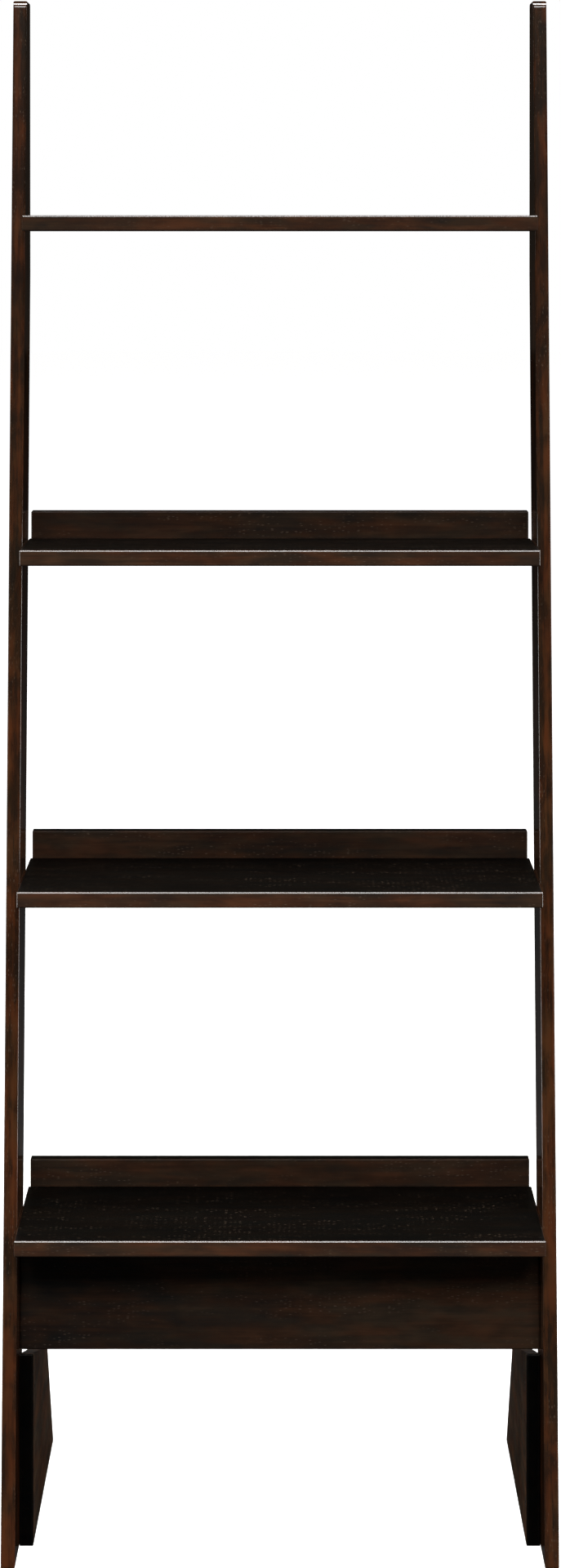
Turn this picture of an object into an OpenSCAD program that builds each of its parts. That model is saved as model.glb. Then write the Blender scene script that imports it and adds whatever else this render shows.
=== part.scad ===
// Ladder shelf: two side rails that lean back, four shelves between them, a front apron
// under the lowest shelf and two rear feet that let it stand free. It has no moving parts.
// Millimetres, +Z up, the front faces -Y. The origin is the centre of the footprint, on the floor.

/* [Rails] */
// Width over the outer faces of the two rails
overall_w = 622; // [560:1:700]
// Height of the rails
overall_h = 1758; // [1740:1:1770]
// Thickness of a rail
rail_t = 16; // [16:0.5:22]
// Front-to-back depth of a rail, measured level
rail_d = 88; // [86:1:96]
// Backward lean of the rails from upright, in degrees
lean = 6.35; // [6:0.05:6.6]
// Distance from the rails' front foot back to the upright cut at their top rear
rear_cut = 248; // [247:1:256]
// Radius of the rails' two top corners
rail_corner_r = 9; // [3:0.5:15]

/* [Shelves] */
// Thickness of a shelf
shelf_t = 18; // [18:0.5:22]
// Height of the lowest shelf's top
first_shelf_z = 370; // [355:1:390]
// Rise from one shelf to the next
shelf_pitch = 379; // [365:1:382]
// How far a shelf's front edge stands in front of the rails
shelf_overhang = 55; // [45:1:70]
// Depth of shelf 1, at the top, which has no lip
shelf_1_depth = 136; // [130:1:150]
// Depth of shelf 2 with its lip
shelf_2_depth = 168; // [160:1:200]
// Depth of shelf 3 with its lip
shelf_3_depth = 224; // [200:1:240]
// Depth of shelf 4, the lowest, with its lip
shelf_4_depth = 232; // [210:1:280]

/* [Lips] */
// Thickness of a rear lip
lip_t = 16; // [15:0.5:20]
// How far a lip stands above its shelf
lip_rise = 32; // [20:1:60]
// How far each end of a lip stops short of the shelf's end
lip_inset = 2.5; // [0.5:0.5:10]

/* [Apron] */
// Thickness of the apron
apron_t = 16; // [16:0.5:20]
// Height of the apron
apron_h = 132; // [120:1:132]
// Distance from the rails' front foot back to the apron's face
apron_back = 75; // [73:1:84]

/* [Feet] */
// Thickness of a rear foot
foot_t = 16; // [16:0.5:20]
// Distance from the rails' front foot back to the rear foot's front edge
foot_front = 65; // [63:1:70]
// Distance from the rails' front foot back to the rear foot's heel on the floor
foot_reach = 401; // [360:1:430]
// Height of the rear foot at its front edge
foot_front_h = 219; // [205:1:219]
// Height at which the rear foot's top edge meets its sloping heel
foot_heel_h = 153; // [120:1:170]
// Distance from the rails' front foot back to that corner
foot_heel_back = 296; // [260:1:320]

/* [Edges] */
// Radius worn onto every board edge
edge_r = 2; // [0.5:0.25:3]

/* [Hidden] */
$fn = 32;

wood = "#3b2a20";
zinc = "#b9bcc0";
black_steel = "#1f1d1c";
brass = "#b08a4a";
beech = "#cda873";
over = 1;        // how far a cutter runs past the face it cuts
gap = 0.1;       // clearance round a fastener in its hole

slope = tan(lean);
inner_w = overall_w - 2 * rail_t;
// A rear foot's heel is an acute corner, which its rounding draws in
heel_r = 2 * edge_r;
heel_angle = atan2(foot_heel_h, foot_reach - foot_heel_back);
heel_trim = heel_r / tan(heel_angle / 2) - heel_r;
// Front foot of the rails, placed so that shelf 4's front and the heels are equally far from the origin
rail_foot_y = (shelf_overhang - slope * first_shelf_z + heel_trim - foot_reach) / 2;
shelf_depths = [shelf_1_depth, shelf_2_depth, shelf_3_depth, shelf_4_depth];
apron_y = rail_foot_y + apron_back;
apron_mid_y = apron_y + apron_t / 2;
apron_top_z = first_shelf_z - shelf_t;
lip_h = shelf_t + lip_rise;
lip_w = inner_w - 2 * lip_inset;

// Cam fittings: a bolt screwed into the rail is drawn tight by a cam in the board
cam_r = 7.4;
cam_from_end = 34;
cam_wall = 4.5;           // wood left beyond a cam's pocket
cam_slot = [6.4, 1.2, 2.4];
bolt_thread = 11;         // length of the bolt's thread, in the rail
bolt_hole_r = 4.1;
bolt_hole_depth = 11.6;
thread_hole_r = 3.2;

// Wooden dowels
dowel_r = 4;
dowel_l = 30;
dowel_in_rail = 10;
dowel_in_board = dowel_l - dowel_in_rail;
foot_dowel_l = 24;

// Lip screws
screw_r = 2;
screw_l = 45;
screw_head = [4, 2.6];    // radius, height of the countersunk head
lip_screws_per_lip = 4;
lip_screw_end = 45;       // distance of the outer screws from the lip's ends

// Foot bolts and the threaded inserts that they enter
foot_bolt_r = 3;
foot_bolt_l = 26;
foot_bolt_head = [6, 3.3];
insert_r = 5;
insert_l = 12;

// Places along a rail, measured level from its front face
cam_setbacks = [18, 70];
dowel_setback = 44;
// Heights of the apron's end fasteners below its top, and places of the dowels along its top edge
apron_cam_drops = [31, 101];
apron_dowel_drop = 66;
apron_dowel_xs = [-180, 0, 180];
// Each rear foot is held by two bolts and a dowel: [distance behind the rails' front foot, height]
foot_bolt_places = [[80, 45], [88, 175]];
foot_dowel_y = rail_foot_y + 84;
foot_dowel_z = 110;

function shelf_z(i) = first_shelf_z + (4 - i) * shelf_pitch;
function rail_front(z) = rail_foot_y + slope * z;
function shelf_front(i) = rail_front(shelf_z(i)) - shelf_overhang;
function has_lip(i) = i > 1;
function board_depth(i) = shelf_depths[i - 1] - (has_lip(i) ? lip_t : 0);
function shelf_mid_z(i) = shelf_z(i) - shelf_t / 2;
function lip_screw_x(k) = (lip_w / 2 - lip_screw_end) * (2 * k / (lip_screws_per_lip - 1) - 1);

// ---- Boards ----

function unit(v) = v / norm(v);
function half_angle(a, b, c) = acos(unit(a - b) * unit(c - b)) / 2;
function before(points, i) = points[(i + len(points) - 1) % len(points)];
function after(points, i) = points[(i + 1) % len(points)];

// A convex outline, its corners rounded by true arcs: radii holds one radius for each corner
module rounded_outline(points, radii) {
    corners = [for (i = [0:len(points) - 1]) [before(points, i), points[i], after(points, i), radii[i]]];
    polygon([for (c = corners) let (reach = c[3] / tan(half_angle(c[0], c[1], c[2])))
             each [c[1] + unit(c[0] - c[1]) * reach, c[1] + unit(c[2] - c[1]) * reach]]);
    for (c = corners) let (to_centre = unit(unit(c[0] - c[1]) + unit(c[2] - c[1])))
        translate(c[1] + to_centre * c[3] / sin(half_angle(c[0], c[1], c[2]))) circle(c[3]);
}

// Everything on the inner side of the edge from p to q, with both long arrises of that edge rounded
module rounded_side(p, q, t, r) {
    run = norm(q - p);
    reach = 4 * overall_h;
    translate(p) rotate([90, 0, atan2(q[0] - p[0], p[1] - q[1])]) translate([0, 0, -reach / 2])
        linear_extrude(run + reach) {
            translate([r, 0]) square([reach, t]);
            translate([0, r]) square([reach, t - 2 * r]);
            for (y = [r, t - r]) translate([r, y]) circle(r);
        }
}

// A board of thickness t on a convex outline, counter-clockwise, with every edge rounded by r
module board(points, t, r, radii) {
    intersection() {
        linear_extrude(t) rounded_outline(points, radii);
        intersection_for (i = [0:len(points) - 1]) rounded_side(points[i], after(points, i), t, r);
    }
}

// A rectangular board centred on X, from its front lower edge at y = 0, z = 0
module plank(w, d, h) {
    board([[-w / 2, 0], [w / 2, 0], [w / 2, d], [-w / 2, d]], h, edge_r, [for (i = [1:4]) edge_r]);
}

// A board whose outline is drawn in Y and Z, with its thickness along +X
module upright(points, t, radii) {
    rotate([90, 0, 90]) board(points, t, edge_r, radii);
}

// ---- Fasteners, each along +Z with its outer face or shoulder at z = 0 ----

// A turned shape with a ring of crest and root for each turn of its thread
function thread_profile(root, crest, from, to, pitch) =
    [for (z = [from:pitch:to - pitch]) each [[root, z], [crest, z + pitch / 2]]];

module cam(h, bolt_z) {
    difference() {
        cylinder(r = cam_r, h = h);
        translate([0, 0, bolt_z]) rotate([0, 90, 0]) cylinder(r = 3.9, h = cam_r + over);
        translate([0, 0, bolt_z - 3.9]) cylinder(r = 4.6, h = h);
        for (turn = [0, 90]) rotate(turn)
            translate([-cam_slot[0] / 2, -cam_slot[1] / 2, -over]) cube(cam_slot + [0, 0, over]);
    }
}

// Thread below the shoulder, then shoulder, shank, neck and the head that the cam grips
module cam_bolt() {
    rotate_extrude() polygon(concat(
        [[0, -bolt_thread], [1.6, -bolt_thread]],
        thread_profile(2.5, 3.1, -bolt_thread + 1, 0, 1.25),
        [[2.5, 0], [3.9, 0], [3.9, 1.6], [3, 2.2], [3, 28], [1.9, 29], [1.9, 31.5],
         [3.3, 32.3], [3.3, 34.5], [2.6, 35.4], [0, 35.4]]));
}

module dowel(l) {
    chamfer = 1;
    rotate_extrude() polygon([[0, 0], [dowel_r - chamfer, 0], [dowel_r, chamfer],
                              [dowel_r, l - chamfer], [dowel_r - chamfer, l], [0, l]]);
}

module wood_screw() {
    difference() {
        rotate_extrude() polygon(concat(
            [[0, 0], [screw_head[0], 0], [screw_head[0], 0.3], [screw_r, screw_head[1]], [screw_r, 14]],
            thread_profile(1.4, screw_r, 15, 42, 1.8),
            [[1.4, 42], [0, screw_l]]));
        for (turn = [0, 90]) rotate(turn) translate([-2.2, -0.4, -over]) cube([4.4, 0.8, 1.8 + over]);
    }
}

module foot_bolt() {
    difference() {
        rotate_extrude() polygon(concat(
            [[0, 0], [foot_bolt_head[0], 0], [foot_bolt_head[0], 0.3], [foot_bolt_r, foot_bolt_head[1]],
             [foot_bolt_r, 14]],
            thread_profile(2.5, foot_bolt_r, 15, foot_bolt_l - 1, 1),
            [[2.3, foot_bolt_l], [0, foot_bolt_l]]));
        translate([0, 0, -over]) cylinder(r = 2.3, h = 2.5 + over, $fn = 6);
    }
}

module insert_nut() {
    bore = foot_bolt_r + gap;
    rotate_extrude() polygon(concat(
        [[bore, 0], [insert_r, 0], [insert_r, 1.2]],
        thread_profile(4.4, insert_r, 2, insert_l - 1, 2),
        [[4.4, insert_l], [bore, insert_l]]));
}

// Hole with a countersink for a flat head, along +Z from the face at z = 0
module countersunk_hole(r, head, depth) {
    translate([0, 0, -over]) cylinder(r = r, h = depth + over);
    cylinder(r1 = head[0] + 2 * gap, r2 = r, h = head[1] + gap);
    translate([0, 0, -over]) cylinder(r = head[0] + 2 * gap, h = over);
}

// A round hole along X between two places
module bore_x(r, from, to, y, z) {
    translate([from, y, z]) rotate([0, 90, 0]) cylinder(r = r, h = to - from);
}

// A blind hole into the inner face of the right-hand rail
module rail_bore(r, depth, y, z) {
    bore_x(r, inner_w / 2 - over, inner_w / 2 + depth, y, z);
}

// A blind hole into the right-hand end of a board that fills the width between the rails
module end_bore(r, depth, y, z) {
    bore_x(r, inner_w / 2 - depth, inner_w / 2 + over, y, z);
}

// ---- Frame ----

module rail() {
    top_front = rail_front(overall_h);
    back = rail_foot_y + rear_cut;
    outline = [[rail_foot_y, 0], [rail_foot_y + rail_d, 0], [back, (rear_cut - rail_d) / slope],
               [back, overall_h], [top_front, overall_h]];
    color(wood) difference() {
        translate([inner_w / 2, 0, 0])
            upright(outline, rail_t, [edge_r, edge_r, edge_r, rail_corner_r, rail_corner_r]);
        for (i = [1:4]) {
            z = shelf_mid_z(i);
            for (s = cam_setbacks) rail_bore(thread_hole_r, bolt_hole_depth, rail_front(z) + s, z);
            rail_bore(dowel_r + gap, dowel_in_rail + gap, rail_front(z) + dowel_setback, z);
        }
        for (drop = apron_cam_drops)
            rail_bore(thread_hole_r, bolt_hole_depth, apron_mid_y, apron_top_z - drop);
        rail_bore(dowel_r + gap, dowel_in_rail + gap, apron_mid_y, apron_top_z - apron_dowel_drop);
        for (place = foot_bolt_places)
            rail_bore(insert_r + gap, insert_l + gap, rail_foot_y + place[0], place[1]);
        rail_bore(dowel_r + gap, foot_dowel_l / 2 + gap, foot_dowel_y, foot_dowel_z);
    }
}

module left_rail() {
    mirror([1, 0, 0]) rail();
}

module right_rail() {
    rail();
}

// A shelf's board, with its end holes, the pockets for its cams and the holes for its lip's screws
module shelf(i) {
    mid_z = shelf_mid_z(i);
    color(wood) difference() {
        translate([0, shelf_front(i), shelf_z(i) - shelf_t]) plank(inner_w, board_depth(i), shelf_t);
        for (side = [0, 1]) mirror([side, 0, 0]) {
            for (s = cam_setbacks) {
                end_bore(bolt_hole_r, cam_from_end, rail_front(mid_z) + s, mid_z);
                translate([inner_w / 2 - cam_from_end, rail_front(mid_z) + s, shelf_z(i) - shelf_t - over])
                    cylinder(r = cam_r + gap, h = shelf_t - cam_wall + over);
            }
            end_bore(dowel_r + gap, dowel_in_board + gap, rail_front(mid_z) + dowel_setback, mid_z);
        }
        if (has_lip(i)) for (k = [0:lip_screws_per_lip - 1])
            translate([lip_screw_x(k), shelf_front(i) + board_depth(i) + over, mid_z]) rotate([90, 0, 0])
                cylinder(r = screw_r + gap, h = screw_l - lip_t + gap + over);
        if (i == 4) for (x = apron_dowel_xs)
            translate([x, apron_mid_y, apron_top_z - over])
                cylinder(r = dowel_r + gap, h = dowel_in_rail + gap + over);
    }
}

module shelf_1() {
    shelf(1);
}

module shelf_2() {
    shelf(2);
}

module shelf_3() {
    shelf(3);
}

module shelf_4() {
    shelf(4);
}

// Places a fastener on each screw axis of shelf i's lip, pointing forwards from the lip's rear face
module on_lip_screws(i) {
    for (k = [0:lip_screws_per_lip - 1])
        translate([lip_screw_x(k), shelf_front(i) + shelf_depths[i - 1], shelf_mid_z(i)])
            rotate([90, 0, 0]) children();
}

// The raised strip along a shelf's rear edge
module lip(i) {
    color(wood) difference() {
        translate([0, shelf_front(i) + board_depth(i), shelf_z(i) - shelf_t]) plank(lip_w, lip_t, lip_h);
        on_lip_screws(i) countersunk_hole(screw_r + gap, screw_head, lip_t + over);
    }
}

module lip_2() {
    lip(2);
}

module lip_3() {
    lip(3);
}

module lip_4() {
    lip(4);
}

module apron() {
    color(wood) difference() {
        translate([0, apron_y, apron_top_z - apron_h]) plank(inner_w, apron_t, apron_h);
        for (side = [0, 1]) mirror([side, 0, 0]) {
            for (drop = apron_cam_drops) {
                end_bore(bolt_hole_r, cam_from_end, apron_mid_y, apron_top_z - drop);
                translate([inner_w / 2 - cam_from_end, apron_y + apron_t + over, apron_top_z - drop])
                    rotate([90, 0, 0]) cylinder(r = cam_r + gap, h = apron_t - cam_wall + gap + over);
            }
            end_bore(dowel_r + gap, dowel_in_board + gap, apron_mid_y, apron_top_z - apron_dowel_drop);
        }
        for (x = apron_dowel_xs) translate([x, apron_mid_y, apron_top_z - dowel_in_board - gap])
            cylinder(r = dowel_r + gap, h = dowel_l);
    }
}

// The board lapped on a rail's inner face that runs back along the floor
module foot() {
    outline = [for (p = [[foot_front, 0], [foot_reach, 0], [foot_heel_back, foot_heel_h],
                         [foot_front, foot_front_h]]) [rail_foot_y + p[0], p[1]]];
    face = inner_w / 2 - foot_t;
    color(wood) difference() {
        translate([face, 0, 0]) upright(outline, foot_t, [edge_r, heel_r, heel_r, edge_r]);
        for (place = foot_bolt_places)
            translate([face, rail_foot_y + place[0], place[1]]) rotate([0, 90, 0])
                countersunk_hole(foot_bolt_r + gap, foot_bolt_head, foot_t + over);
        end_bore(dowel_r + gap, foot_dowel_l / 2 + gap, foot_dowel_y, foot_dowel_z);
    }
}

module left_foot() {
    mirror([1, 0, 0]) foot();
}

module right_foot() {
    foot();
}

// ---- Hardware ----

// Repeats its children on the left-hand side
module both_sides() {
    for (side = [0, 1]) mirror([side, 0, 0]) children();
}

module shelf_cams() {
    color(zinc) both_sides() for (i = [1:4], s = cam_setbacks)
        translate([inner_w / 2 - cam_from_end, rail_front(shelf_mid_z(i)) + s, shelf_z(i) - shelf_t])
            cam(shelf_t - cam_wall - gap, shelf_t / 2);
}

module apron_cams() {
    color(zinc) both_sides() for (drop = apron_cam_drops)
        translate([inner_w / 2 - cam_from_end, apron_y + apron_t, apron_top_z - drop]) rotate([90, 0, 0])
            cam(apron_t - cam_wall, apron_t / 2);
}

module cam_bolts() {
    color(zinc) both_sides() {
        for (i = [1:4], s = cam_setbacks)
            translate([inner_w / 2, rail_front(shelf_mid_z(i)) + s, shelf_mid_z(i)]) rotate([0, -90, 0])
                cam_bolt();
        for (drop = apron_cam_drops)
            translate([inner_w / 2, apron_mid_y, apron_top_z - drop]) rotate([0, -90, 0]) cam_bolt();
    }
}

// One between each board end and its rail, and three between the apron and shelf 4
module wood_dowels() {
    color(beech) {
        both_sides() {
            for (i = [1:4]) let (z = shelf_mid_z(i))
                translate([inner_w / 2 + dowel_in_rail, rail_front(z) + dowel_setback, z])
                    rotate([0, -90, 0]) dowel(dowel_l);
            translate([inner_w / 2 + dowel_in_rail, apron_mid_y, apron_top_z - apron_dowel_drop])
                rotate([0, -90, 0]) dowel(dowel_l);
        }
        for (x = apron_dowel_xs)
            translate([x, apron_mid_y, apron_top_z - dowel_in_board]) dowel(dowel_l);
    }
}

module foot_dowels() {
    color(beech) both_sides()
        translate([(inner_w - foot_dowel_l) / 2, foot_dowel_y, foot_dowel_z])
            rotate([0, 90, 0]) dowel(foot_dowel_l);
}

module lip_screws() {
    color(zinc) for (i = [2:4]) on_lip_screws(i) wood_screw();
}

module foot_bolts() {
    color(black_steel) both_sides() for (place = foot_bolt_places)
        translate([inner_w / 2 - foot_t, rail_foot_y + place[0], place[1]]) rotate([0, 90, 0]) foot_bolt();
}

module foot_inserts() {
    color(brass) both_sides() for (place = foot_bolt_places)
        translate([inner_w / 2, rail_foot_y + place[0], place[1]]) rotate([0, 90, 0]) insert_nut();
}

left_rail();
right_rail();
shelf_1();
shelf_2();
shelf_3();
shelf_4();
lip_2();
lip_3();
lip_4();
apron();
left_foot();
right_foot();
shelf_cams();
apron_cams();
cam_bolts();
wood_dowels();
foot_dowels();
lip_screws();
foot_bolts();
foot_inserts();
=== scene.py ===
import math

import bpy
from mathutils import Euler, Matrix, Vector


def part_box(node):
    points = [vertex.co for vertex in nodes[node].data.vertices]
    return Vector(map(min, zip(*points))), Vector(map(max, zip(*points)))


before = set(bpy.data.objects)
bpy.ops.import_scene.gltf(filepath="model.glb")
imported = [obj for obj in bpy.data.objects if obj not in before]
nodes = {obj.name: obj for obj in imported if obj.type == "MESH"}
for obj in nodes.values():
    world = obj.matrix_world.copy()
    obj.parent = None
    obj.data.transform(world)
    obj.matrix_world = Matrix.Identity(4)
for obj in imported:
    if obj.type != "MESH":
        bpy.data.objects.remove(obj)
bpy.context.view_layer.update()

# ---- Driving values: metres, watts and radians unless they say otherwise ----

LEAN = math.radians(6.35)          # of the rails from upright

# The camera looks level at the object, a little below shelf 1
CAMERA_DISTANCE = 3.715            # in front of the rails' front foot
CAMERA_HEIGHT = 1.4808
CAMERA_PITCH = math.radians(0.5)
CAMERA_LENS = 76.92                # millimetres, on a 36 mm sensor
CAMERA_SHIFT = (0.0004, -0.3294)

FLOOR_RADIUS = 40.0
FLOOR_SEEN = 0.6                   # albedo of the floor as the camera sees it
FLOOR_GLOW = 0.98                  # and how much it shines, which makes it white
FLOOR_UNSEEN = 0.02                # albedo of it for all other light, so that it throws little back up
ROOM_LIGHT = 0.012                 # of the world, for anything but the camera
BACKDROP_LIGHT = 0.065             # added to it behind the object
ROOM_TINT = (1.0, 0.84, 0.68)


# ---- Node graphs ----

def add_node(tree, kind, inputs=None, **settings):
    """A new node. inputs maps a socket's name or number to a value or to another node's output."""
    made = tree.nodes.new("ShaderNode" + kind)
    for name, value in settings.items():
        setattr(made, name, value)
    for socket, value in (inputs or {}).items():
        if isinstance(value, bpy.types.NodeSocket):
            tree.links.new(value, made.inputs[socket])
        else:
            made.inputs[socket].default_value = value
    return made


def maths(tree, operation, *values):
    return add_node(tree, "Math", dict(enumerate(values)), operation=operation).outputs[0]


def vector_maths(tree, operation, *values):
    made = add_node(tree, "VectorMath", dict(enumerate(values)), operation=operation)
    return made.outputs["Value" if operation == "DOT_PRODUCT" else "Vector"]


def remap(tree, value, low, high, to_low=0.0, to_high=1.0):
    """value from low..high to to_low..to_high, held at its ends and eased between them."""
    made = add_node(tree, "MapRange", {0: value, 1: low, 2: high, 3: to_low, 4: to_high},
                    interpolation_type="SMOOTHSTEP")
    return made.outputs[0]


def blend(tree, factor, a, b, mode="MIX"):
    made = add_node(tree, "Mix", data_type="RGBA", blend_type=mode)
    for socket, value in (("Factor_Float", factor), ("A_Color", a), ("B_Color", b)):
        target = next(s for s in made.inputs if s.identifier == socket)
        if isinstance(value, bpy.types.NodeSocket):
            tree.links.new(value, target)
        else:
            target.default_value = value
    return next(s for s in made.outputs if s.identifier == "Result_Color")


def noise(tree, vector, scale, detail=2.0, roughness=0.5, distortion=0.0):
    made = add_node(tree, "TexNoise", {"Vector": vector, "Scale": scale, "Detail": detail,
                                       "Roughness": roughness, "Distortion": distortion})
    return made.outputs["Fac"]


def bump(tree, height, strength, distance=0.0002):
    return add_node(tree, "Bump", {"Height": height, "Strength": strength, "Distance": distance}).outputs[0]


def object_place(tree):
    return add_node(tree, "TexCoord").outputs["Object"]


def rgb(r, g, b):
    return (r, g, b, 1.0)


def set_inputs(tree, surface, **values):
    """Sets or links sockets of a surface: coat_weight is its Coat Weight, and coat_ior its Coat IOR."""
    for name, value in values.items():
        socket = surface.inputs[name.replace("_", " ").title().replace("Ior", "IOR")]
        if isinstance(value, bpy.types.NodeSocket):
            tree.links.new(value, socket)
        else:
            socket.default_value = value


def new_material(name):
    """A material with a Principled surface: (material, tree, the Principled node)."""
    made = bpy.data.materials.new(name)
    made.use_nodes = True
    tree = made.node_tree
    tree.nodes.clear()
    surface = add_node(tree, "BsdfPrincipled")
    output = add_node(tree, "OutputMaterial")
    tree.links.new(surface.outputs[0], output.inputs["Surface"])
    return made, tree, surface


# ---- Stained wood ----

# Mean colours of the stain, and of the painted shade and light in some of them, as said beside each
RAIL_STAIN = (0.0290, 0.0107, 0.0040)
EDGE_STAIN = (0.0345, 0.0165, 0.0092)
# Faces looking up or down, about a twentieth as light as the edges: painted shade, for the little light that
# reaches the tops
FACE_PAINTED_SHADE = (0.0016, 0.0012, 0.0009)
# The lips, darker than the shelves' edges: their stain, with painted shade for the side light that the rails
# keep off them
LIP_STAIN_AND_SHADE = (0.0228, 0.0124, 0.0075)
APRON_STAIN = (0.0230, 0.0135, 0.0086)
# The feet, lighter than the rails: their stain, with painted light standing for the light on their inner
# faces
FOOT_STAIN_AND_LIGHT = (0.0550, 0.0310, 0.0185)
# Near black, on the feet's front and rear faces
NEAR_BLACK = (0.0010, 0.0009, 0.0008)
FLECK = (0.11, 0.078, 0.055)

# What a board's colour is multiplied by, at its coolest hue and at its warmest
COOL = (0.87, 1.03, 1.10)
WARM = (1.13, 0.96, 0.88)

# Figure: what is left of the scale along the grain, cells a metre across it, detail, roughness, distortion
PATCHES = (0.30, 52.0, 3.0, 0.6, 0.4)
BANDS = (0.035, 170.0, 3.0, 0.6, 0.6)
FIBRE = (0.03, 1100.0, 2.0, 0.6, 0.0)
MOTTLE = (0.8, 60.0, 2.0, 0.5, 0.0)
HUES = (0.22, 60.0, 2.0, 0.6, 0.0)
PORE_ROWS = (0.12, 55.0, 1.5, 0.5, 0.0)

TONE_REACH = 0.16                  # of the figure, either side of 0.5, that takes in all of a stain's tones
PORE_STRETCH = 0.28                # as in the figures above
PORE_SCALE = 640.0                 # cells a metre
PORE_CHOSEN = 0.70                 # a cell holds a pore when its own number is above this
PORE_COLOUR = 0.38                 # how much of a fleck's colour a pore takes
EDGE_RADIUS = 0.0035               # how far from an arris the colour darkens: stain that collects there, and painted shade for the dark that rounded arrises reflect
EDGE_STRENGTH = 0.5

# Semi-gloss lacquer
ROUGHNESS = (0.34, 0.46)
SPECULAR_LEVEL = 0.03
COAT_ROUGHNESS = 0.10
COAT_IOR = 1.52
DULL_FACE = 0.06                   # what is left of the gloss on faces that have the second colour
DULL_SIDE = 0.2                    # and on the rails' outer sides


def tones(stain):
    """From the deepest, coolest tone of a stain to its warmest."""
    r, g, b = stain
    return rgb(0.40 * r, 0.56 * g, 0.80 * b), rgb(r, g, b), rgb(1.9 * r, 1.7 * g, 1.5 * b)


def grain_space(tree, along, seed):
    """Object coordinates turned so that the grain runs along X, and moved so that no two boards match."""
    turn = Vector((1, 0, 0)).rotation_difference(along).inverted().to_euler()
    offset = Vector((seed * 3.17, seed * 1.73, seed * 2.41))
    made = add_node(tree, "Mapping", {"Vector": object_place(tree), "Location": offset, "Rotation": turn})
    return made.outputs[0]


def stretched(tree, space, along):
    """Squeezes the coordinate that runs along the grain, which draws a texture out by 1 / along."""
    return add_node(tree, "Mapping", {"Vector": space, "Scale": (along, 1.0, 1.0)}).outputs[0]


def figure(tree, space, kind):
    along, *settings = kind
    return noise(tree, stretched(tree, space, along), *settings)


def stain_colour(tree, tone, stain):
    low, middle, high = tones(stain)
    ramp = add_node(tree, "ValToRGB", {0: tone})
    ramp.color_ramp.elements[0].color = low
    ramp.color_ramp.elements[1].color = high
    ramp.color_ramp.elements.new(0.5).color = middle
    return ramp.outputs[0]


def stain_tone(tree, space, fibre, contrast, drift):
    """0 to 1 over a stain's tones.

    The last argument is a place in the board, and a vector that points to where the colour is made lighter:
    painted light, standing for more light falling there."""
    tone = maths(tree, "MULTIPLY", figure(tree, space, PATCHES), 0.50)
    tone = maths(tree, "MULTIPLY_ADD", figure(tree, space, BANDS), 0.30, tone)
    tone = maths(tree, "MULTIPLY_ADD", fibre, 0.12, tone)
    tone = maths(tree, "MULTIPLY_ADD", figure(tree, space, MOTTLE), 0.08, tone)
    if drift:
        middle, lighter = drift
        from_middle = vector_maths(tree, "SUBTRACT", object_place(tree), middle)
        tone = maths(tree, "ADD", tone, vector_maths(tree, "DOT_PRODUCT", from_middle, lighter))
    reach = TONE_REACH / contrast
    return remap(tree, tone, 0.5 - reach, 0.5 + reach)


def pore_mask(tree, space):
    """Short pores along the grain: the middles of some cells drawn out along it, in loose rows."""
    cells = add_node(tree, "TexVoronoi", {"Vector": stretched(tree, space, PORE_STRETCH), "Scale": PORE_SCALE,
                                          "Randomness": 1.0})
    own_number = add_node(tree, "SeparateColor", {0: cells.outputs["Color"]}).outputs[0]
    chosen = maths(tree, "GREATER_THAN", own_number, PORE_CHOSEN)
    core = remap(tree, cells.outputs["Distance"], 0.42, 0.12)
    rows = remap(tree, figure(tree, space, PORE_ROWS), 0.44, 0.62)
    return maths(tree, "MULTIPLY", maths(tree, "MULTIPLY", chosen, core), rows)


def arris_mask(tree, normal):
    """1 where the surface turns a corner within EDGE_RADIUS."""
    softened = add_node(tree, "Bevel", {"Radius": EDGE_RADIUS}, samples=6).outputs[0]
    bent = maths(tree, "SUBTRACT", 1.0, vector_maths(tree, "DOT_PRODUCT", softened, normal))
    return remap(tree, bent, 0.0, 0.10)


def add_lacquer(tree, surface, space, fibre, pores):
    """Sheen that varies over the board, slight orange peel, and pores that stay open."""
    sheen = remap(tree, noise(tree, space, 22.0, 3.0, 0.6), 0.3, 0.7, *ROUGHNESS)
    peel = noise(tree, space, 420.0, 1.0, 0.4)
    relief = maths(tree, "MULTIPLY_ADD", peel, 0.35, maths(tree, "MULTIPLY", fibre, 0.5))
    relief = maths(tree, "SUBTRACT", relief, maths(tree, "MULTIPLY", pores, 0.9))
    set_inputs(tree, surface, roughness=maths(tree, "MULTIPLY_ADD", fibre, 0.06, sheen),
               specular_ior_level=SPECULAR_LEVEL, coat_roughness=COAT_ROUGHNESS, coat_ior=COAT_IOR,
               normal=bump(tree, relief, 0.25), coat_normal=bump(tree, peel, 0.02))


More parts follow.
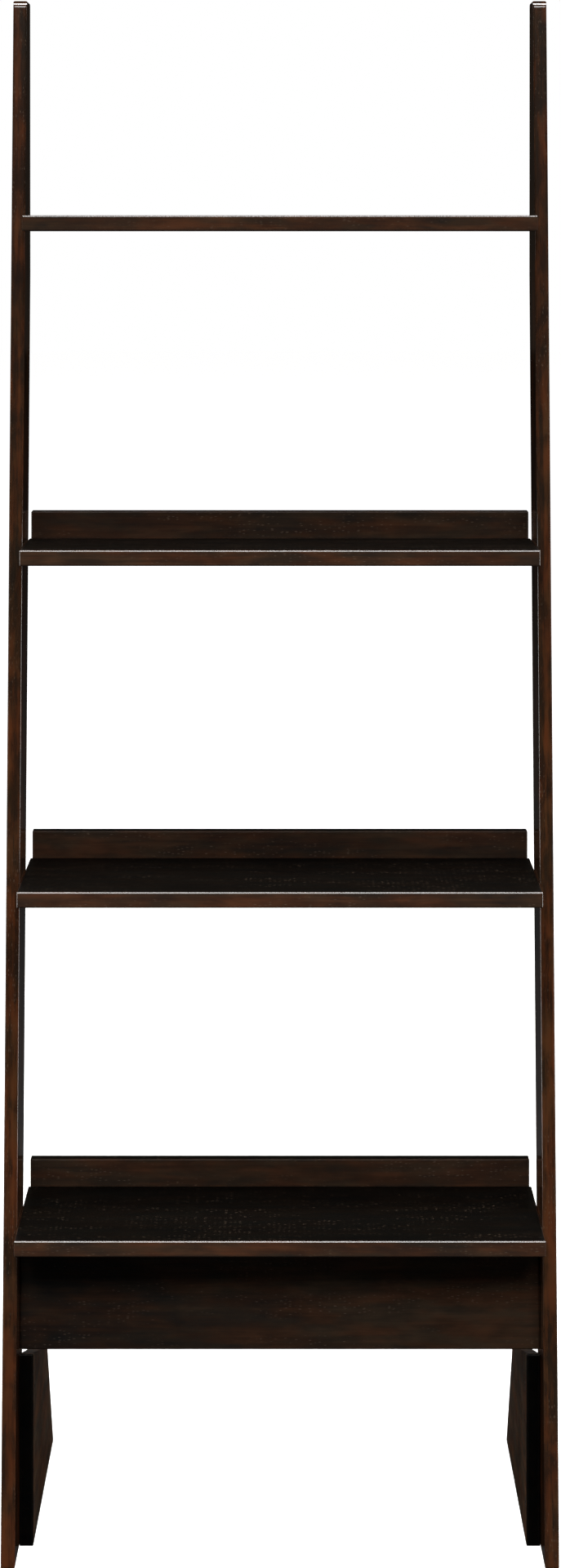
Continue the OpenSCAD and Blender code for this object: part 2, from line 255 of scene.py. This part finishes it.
def stained_wood(name, stain, along, seed, second=None, facing=(0, 0, 1), cosines=(0.80, 0.98),
                 gloss=1.0, contrast=1.0, outward=0, drift=None):
    """Dark stain under lacquer, with the grain along a direction.

    Faces that look along facing, either way, take the second colour and are dull: painted shade on the
    shelves and lips, near black on the feet. cosines says how nearly they have to: where the second colour
    begins, and where it is all there is. contrast is that of the figure, outward the sign of X on a side
    whose lacquer is dull, and the last argument is as in stain_tone."""
    made, tree, surface = new_material(name)
    space = grain_space(tree, along, seed)
    fibre = figure(tree, space, FIBRE)
    tone = stain_tone(tree, space, fibre, contrast, drift)
    normal = add_node(tree, "NewGeometry").outputs["Normal"]

    colour = stain_colour(tree, tone, stain)
    coat = gloss
    # Faces along facing take the second colour: painted shade on the tops and undersides of shelves and lips,
    # near black on the feet
    if second:
        toward = maths(tree, "ABSOLUTE", vector_maths(tree, "DOT_PRODUCT", normal, facing))
        other_face = remap(tree, toward, *cosines)
        colour = blend(tree, other_face, colour, stain_colour(tree, tone, second))
        coat = remap(tree, other_face, 0.0, 1.0, gloss, DULL_FACE * gloss)
    if outward:
        away = vector_maths(tree, "DOT_PRODUCT", normal, (outward, 0, 0))
        coat = remap(tree, away, 0.02, 0.30, gloss, DULL_SIDE * gloss)
    warmth = remap(tree, figure(tree, space, HUES), 0.34, 0.66)
    colour = blend(tree, 1.0, colour, blend(tree, warmth, rgb(*COOL), rgb(*WARM)), mode="MULTIPLY")

    pores = pore_mask(tree, space)
    colour = blend(tree, maths(tree, "MULTIPLY", pores, PORE_COLOUR), colour, rgb(*FLECK))
    # Darker and cooler near an arris: stain collected there, and painted shade in place of the dark that the
    # rounded arrises reflect
    edge_stain_and_shade = maths(tree, "MULTIPLY", arris_mask(tree, normal), EDGE_STRENGTH)
    colour = blend(tree, edge_stain_and_shade, colour, tones(stain)[0])
    set_inputs(tree, surface, base_color=colour, coat_weight=coat)
    add_lacquer(tree, surface, space, fibre, pores)
    return made


# ---- Hardware ----

def plated_steel(name):
    """Bright zinc: bare metal with a faint grey bloom and fine turning marks."""
    made, tree, surface = new_material(name)
    bloom = noise(tree, object_place(tree), 240.0, 3.0, 0.6)
    marks = noise(tree, object_place(tree), 3000.0, 1.0)
    set_inputs(tree, surface, base_color=blend(tree, bloom, rgb(0.50, 0.51, 0.53), rgb(0.74, 0.75, 0.77)),
               roughness=remap(tree, bloom, 0.3, 0.7, 0.24, 0.42), metallic=1.0,
               normal=bump(tree, marks, 0.2, distance=0.00005))
    return made


def black_oxide(name):
    """Oiled black steel, patchy where the oil has dried."""
    made, tree, surface = new_material(name)
    patches = noise(tree, object_place(tree), 500.0, 3.0, 0.6)
    oiled = blend(tree, patches, rgb(0.010, 0.009, 0.008), rgb(0.022, 0.020, 0.018))
    set_inputs(tree, surface, base_color=oiled, roughness=remap(tree, patches, 0.3, 0.7, 0.38, 0.55),
               specular_ior_level=0.3)
    return made


def turned_brass(name):
    """Bare brass, a little tarnished here and there."""
    made, tree, surface = new_material(name)
    tarnish = noise(tree, object_place(tree), 300.0, 3.0, 0.6)
    set_inputs(tree, surface, base_color=blend(tree, tarnish, rgb(0.55, 0.36, 0.14), rgb(0.78, 0.56, 0.26)),
               roughness=remap(tree, tarnish, 0.3, 0.7, 0.25, 0.4), metallic=1.0)
    return made


def bare_beech(name):
    """Unfinished dowel wood, pale, with its own short streaks along X."""
    made, tree, surface = new_material(name)
    space = grain_space(tree, Vector((1, 0, 0)), 9.0)
    streaks = noise(tree, stretched(tree, space, 0.1), 900.0, 3.0, 0.6)
    set_inputs(tree, surface, base_color=blend(tree, streaks, rgb(0.46, 0.28, 0.15), rgb(0.66, 0.46, 0.28)),
               roughness=0.62, normal=bump(tree, streaks, 0.4))
    return made


# ---- Which piece has which finish ----

def set_material(name, material):
    """Gives a CAD node its finish."""
    piece = nodes[name]
    piece.data.materials.clear()
    piece.data.materials.append(material)


def finish_board(name, stain, along, seed, **options):
    set_material(name, stained_wood(name + "_wood", stain, along, seed, **options))


def finish_boards():
    along_rail = Vector((0, math.sin(LEAN), math.cos(LEAN)))
    across = Vector((1, 0, 0))
    back = Vector((0, 1, 0))
    # The rails are made a little lighter towards the floor, and the apron towards the right: painted light,
    # for the light falling more strongly there
    to_floor = ((0, 0, 0.85), (0, 0, -0.035))
    to_right = ((0, 0, 0.3), (0.4, 0, 0))
    for seed, name, side in ((1.0, "left_rail", -1), (2.0, "right_rail", 1)):
        finish_board(name, RAIL_STAIN, along_rail, seed, contrast=1.4, outward=side, drift=to_floor)
    # The shelves' tops and undersides take painted shade
    for seed, name in enumerate(("shelf_1", "shelf_2", "shelf_3", "shelf_4")):
        finish_board(name, EDGE_STAIN, across, seed + 11.0, second=FACE_PAINTED_SHADE, contrast=0.7)
    # The lips are darker than the shelves' edges as painted shade, and their tops and undersides take the
    # same painted shade as the shelves'
    for seed, name in enumerate(("lip_2", "lip_3", "lip_4")):
        finish_board(name, LIP_STAIN_AND_SHADE, across, seed + 21.0, second=FACE_PAINTED_SHADE, gloss=0.05, contrast=0.6)
    finish_board("apron", APRON_STAIN, across, 26.0, gloss=0.15, contrast=0.6, drift=to_right)
    # The feet's front and rear edges are black, arrises and all
    # The feet are lighter than the rails: painted light for the light on their inner faces
    for seed, name in enumerate(("left_foot", "right_foot")):
        finish_board(name, FOOT_STAIN_AND_LIGHT, back, seed + 31.0, second=NEAR_BLACK, facing=(0, 1, 0),
                     cosines=(0.15, 0.5), gloss=0.1, contrast=0.7)


def finish_hardware():
    steel = plated_steel("zinc_plate")
    for name in ("shelf_cams", "apron_cams", "cam_bolts", "lip_screws"):
        set_material(name, steel)
    set_material("foot_bolts", black_oxide("black_oxide"))
    set_material("foot_inserts", turned_brass("insert_brass"))
    beech = bare_beech("beech_dowel")
    for name in ("wood_dowels", "foot_dowels"):
        set_material(name, beech)


# ---- Studio ----

def seen_by_camera(tree, otherwise, seen):
    """A shader that is one thing to the camera and another to all other rays."""
    ray = add_node(tree, "LightPath").outputs["Is Camera Ray"]
    return add_node(tree, "MixShader", {0: ray, 1: otherwise, 2: seen}).outputs[0]


def add_floor():
    bpy.ops.mesh.primitive_circle_add(vertices=128, radius=FLOOR_RADIUS, fill_type="NGON")
    floor = bpy.context.object
    floor.name = "floor"
    material, tree, surface = new_material("pale_floor")
    pale = add_node(tree, "BsdfPrincipled")
    for shader, albedo in ((surface, FLOOR_UNSEEN), (pale, FLOOR_SEEN)):
        set_inputs(tree, shader, base_color=rgb(albedo, albedo, albedo), roughness=0.9,
                   specular_ior_level=0.0)
    set_inputs(tree, pale, emission_color=rgb(1, 1, 1), emission_strength=FLOOR_GLOW)
    output = next(n for n in tree.nodes if n.type == "OUTPUT_MATERIAL")
    tree.links.new(seen_by_camera(tree, surface.outputs[0], pale.outputs[0]), output.inputs["Surface"])
    floor.data.materials.append(material)


def add_world():
    """White behind the object, and a dim room for it to reflect, a little brighter behind and above it."""
    world = bpy.data.worlds.new("studio")
    bpy.context.scene.world = world
    world.use_nodes = True
    tree = world.node_tree
    tree.nodes.clear()
    direction = add_node(tree, "SeparateXYZ", {0: add_node(tree, "TexCoord").outputs["Generated"]})
    behind = remap(tree, direction.outputs["Y"], 0.4, 0.8)
    raised = remap(tree, direction.outputs["Z"], 0.14, 0.26)
    backdrop = maths(tree, "MULTIPLY", behind, raised)
    strength = maths(tree, "MULTIPLY_ADD", backdrop, BACKDROP_LIGHT, ROOM_LIGHT)
    room = add_node(tree, "Background", {"Color": rgb(*ROOM_TINT), "Strength": strength})
    white = add_node(tree, "Background", {"Color": rgb(1, 1, 1), "Strength": 1.0})
    output = add_node(tree, "OutputWorld")
    tree.links.new(seen_by_camera(tree, room.outputs[0], white.outputs[0]), output.inputs["Surface"])


def add_softbox(name, place, target, size, power, spread=math.pi):
    """A rectangle of light that faces target. A grid in front of it makes its spread narrower."""
    light = bpy.data.lights.new(name, "AREA")
    light.shape = "RECTANGLE"
    light.size, light.size_y = size
    light.energy = power
    light.spread = spread
    made = bpy.data.objects.new(name, light)
    made.location = place
    made.rotation_euler = (Vector(target) - Vector(place)).to_track_quat("-Z", "Y").to_euler()
    bpy.context.scene.collection.objects.link(made)


def add_lights():
    # A strip almost overhead draws the bright line along each shelf, and leaves the rear of the tops dark
    add_softbox("overhead", place=(0, -2.65, 10.0), target=(0, -0.1, 0.9), size=(4.9, 1.8), power=1320)
    # A broad bank high in front lights the front faces without a reflection in them
    add_softbox("front_bank", place=(0, -8.0, 6.6), target=(0, 0, 0.4), size=(6.0, 3.2), power=470)
    # A gridded box, lower, keeps the light as strong near the floor as it is at the top
    add_softbox("low_box", place=(0, -4.2, 3.3), target=(0, -0.2, 0.2), size=(2.6, 1.2), power=5,
                spread=math.radians(32))
    # Tall boxes at the sides draw the thin lines down the rails' inner arrises
    for side in (-1, 1):
        add_softbox(f"side_box_{side}", place=(side * 2.3, -0.5, 0.6), target=(0, 0, 0.6), size=(0.45, 1.3),
                    power=30)
    # Gridded boxes behind light the feet's inner faces and the backs
    for side in (-1, 1):
        add_softbox(f"rear_box_{side}", place=(side * 3.0, 1.3, 2.7), target=(0, 0.05, 0.1), size=(0.9, 0.9),
                    power=12, spread=math.radians(80))
    # Dim panels lie on the floor behind the feet, whose top edges pick them up
    for side in (-1, 1):
        add_softbox(f"floor_panel_{side}", place=(side * 0.47, 0.9, 0.01), target=(side * 0.47, 0.9, 1.0),
                    size=(0.34, 1.0), power=0.12)


def add_camera():
    lens = bpy.data.cameras.new("camera")
    lens.lens = CAMERA_LENS
    lens.sensor_width = 36.0
    lens.shift_x, lens.shift_y = CAMERA_SHIFT
    made = bpy.data.objects.new("camera", lens)
    front_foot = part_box("right_rail")[0].y
    made.location = (0, front_foot - CAMERA_DISTANCE, CAMERA_HEIGHT)
    made.rotation_euler = Euler((math.pi / 2 - CAMERA_PITCH, 0, 0))
    bpy.context.scene.collection.objects.link(made)
    bpy.context.scene.camera = made


finish_boards()
finish_hardware()
add_floor()
add_world()
add_lights()
add_camera()
bpy.context.scene.view_settings.view_transform = "Standard"
